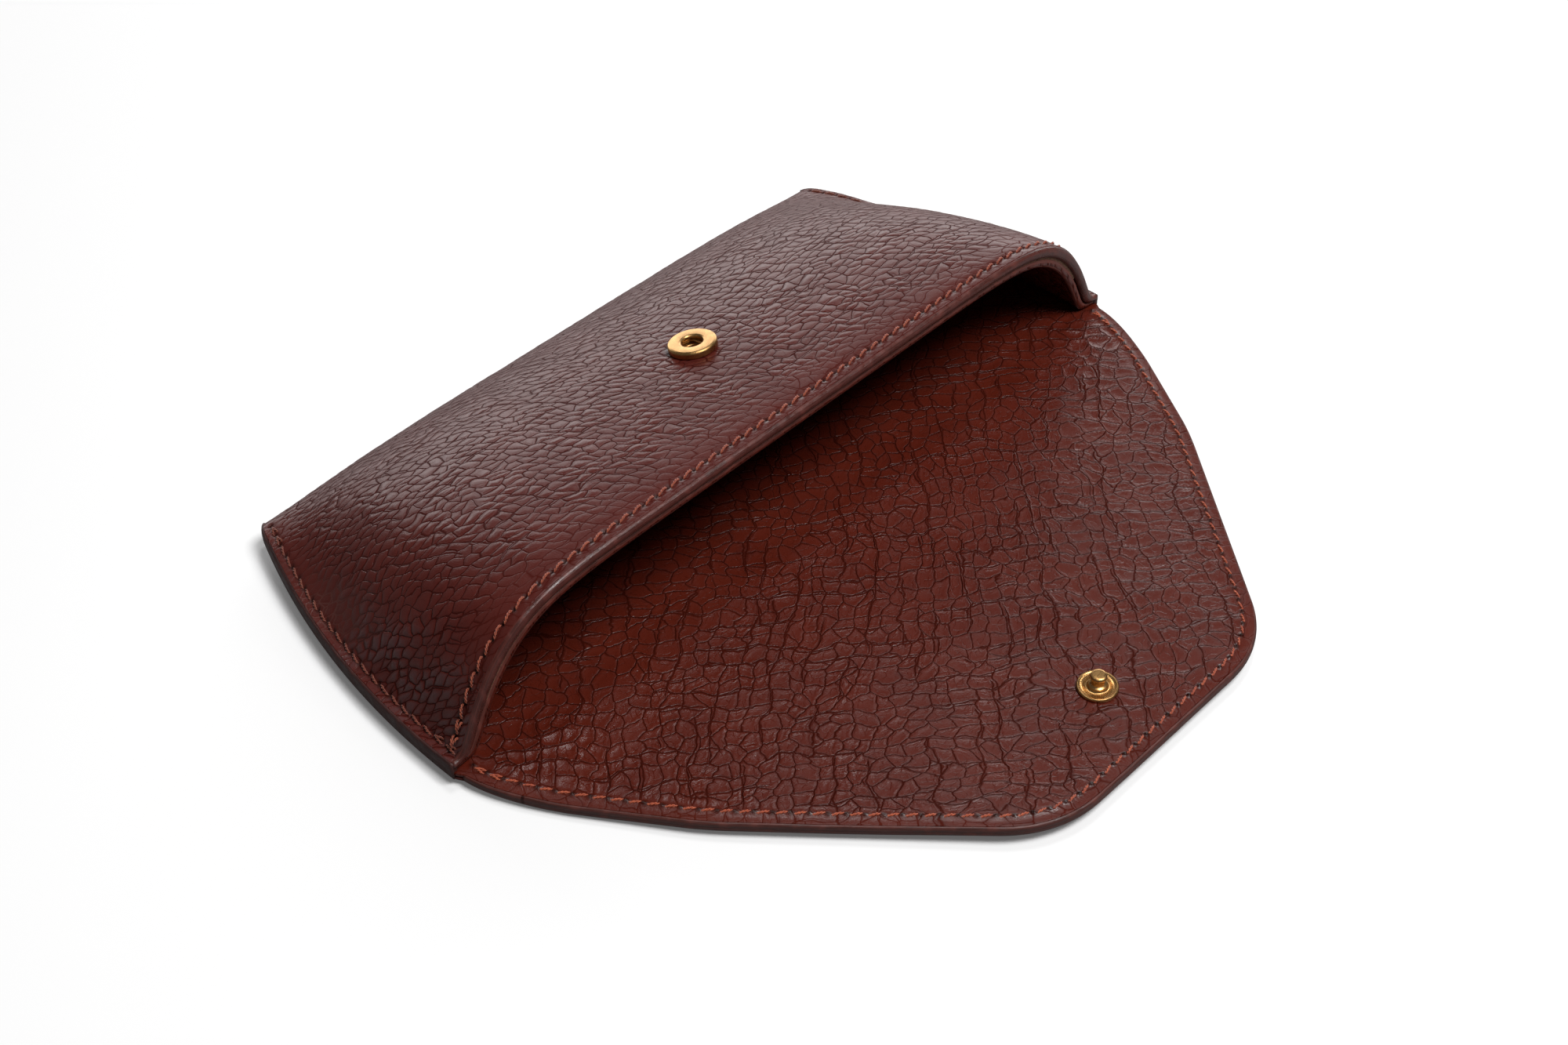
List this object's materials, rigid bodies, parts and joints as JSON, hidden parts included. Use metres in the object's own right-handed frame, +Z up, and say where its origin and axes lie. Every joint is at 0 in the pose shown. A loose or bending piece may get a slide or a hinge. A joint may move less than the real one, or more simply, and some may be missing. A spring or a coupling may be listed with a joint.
{
  "type": "eyeglasses case",
  "caption": "Envelope-style leather eyeglasses case: a domed pocket with a lined fold-over flap that closes over the mouth on a ring snap.",
  "frame": {"origin": "middle of the footprint of the open case, on the surface it lies on", "axes": "+X along the mouth, +Y from the open flap towards the pocket's bottom fold, +Z up out of the surface the case lies on"},
  "size_m": [0.1846, 0.16, 0.0317],
  "materials": {
    "outer_leather": "pebbled brown leather, semi-gloss",
    "lining_leather": "pebbled red-brown lining leather",
    "board": "pressed fibre board",
    "thread": "waxed twisted thread, orange brown",
    "brass": "polished, gold plated"
  },
  "bodies": {
    "pocket": {"pocket_outer": "outer_leather", "pocket_lining": "lining_leather", "front_stiffener": "board", "seam_thread_left": "thread", "seam_thread_right": "thread", "mouth_thread": "thread", "socket_ring": "brass", "socket_spring_left": "brass", "socket_spring_right": "brass", "socket_rivet": "brass"},
    "rise": {"rise_outer": "outer_leather", "rise_lining": "lining_leather", "rise_thread_left": "thread", "rise_thread_right": "thread"},
    "tongue": {"tongue_outer": "outer_leather", "tongue_lining": "lining_leather", "tongue_thread": "thread", "snap_stud": "brass", "stud_cap": "brass"}
  },
  "joints": [
    {"name": "base_fold", "type": "hinge", "parent": "pocket", "child": "rise", "pos_m": [0, 0.0046, 0.00245], "axis": [-1, 0, 0], "range_deg": [0, 89]},
    {"name": "top_fold", "type": "hinge", "parent": "rise", "child": "tongue", "pos_m": [0, -0.02999, 0.00305], "axis": [-1, 0, 0], "range_deg": [0, 102.74]}
  ]
}
